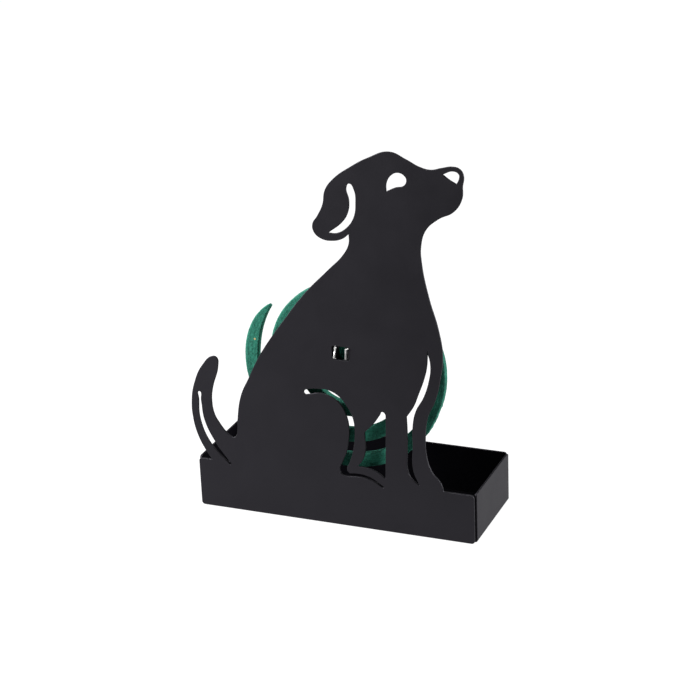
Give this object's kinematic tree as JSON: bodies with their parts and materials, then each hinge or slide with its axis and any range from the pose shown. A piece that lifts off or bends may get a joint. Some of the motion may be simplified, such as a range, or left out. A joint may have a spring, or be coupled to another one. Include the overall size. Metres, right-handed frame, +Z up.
{
  "type": "mosquito coil holder",
  "caption": "Sheet-steel mosquito coil holder: a flat sitting-dog silhouette on the front of an open ash tray, with a spiral coil held in a small clip behind it.",
  "frame": {"origin": "centre of the tray's flat underside", "axes": "+X along the tray, the way the dog looks; -Y out of the dog plate's front face; +Z up"},
  "size_m": [0.1784, 0.0638, 0.233],
  "materials": {
    "black_coat": "satin black powder coat",
    "bright_steel": "spring steel, blued on its faces and bright along its front edges",
    "coil_green": "matt pressed sawdust, dyed green"
  },
  "bodies": {
    "holder": {"dog_plate": "black_coat", "tray_pan": "black_coat", "coil_clip": "bright_steel"},
    "coil": {"mosquito_coil": "coil_green"}
  },
  "joints": [
    {"name": "coil_pull", "type": "slide", "parent": "holder", "child": "coil", "axis": [0, 1, 0], "range_m": [0, 0.085]}
  ]
}
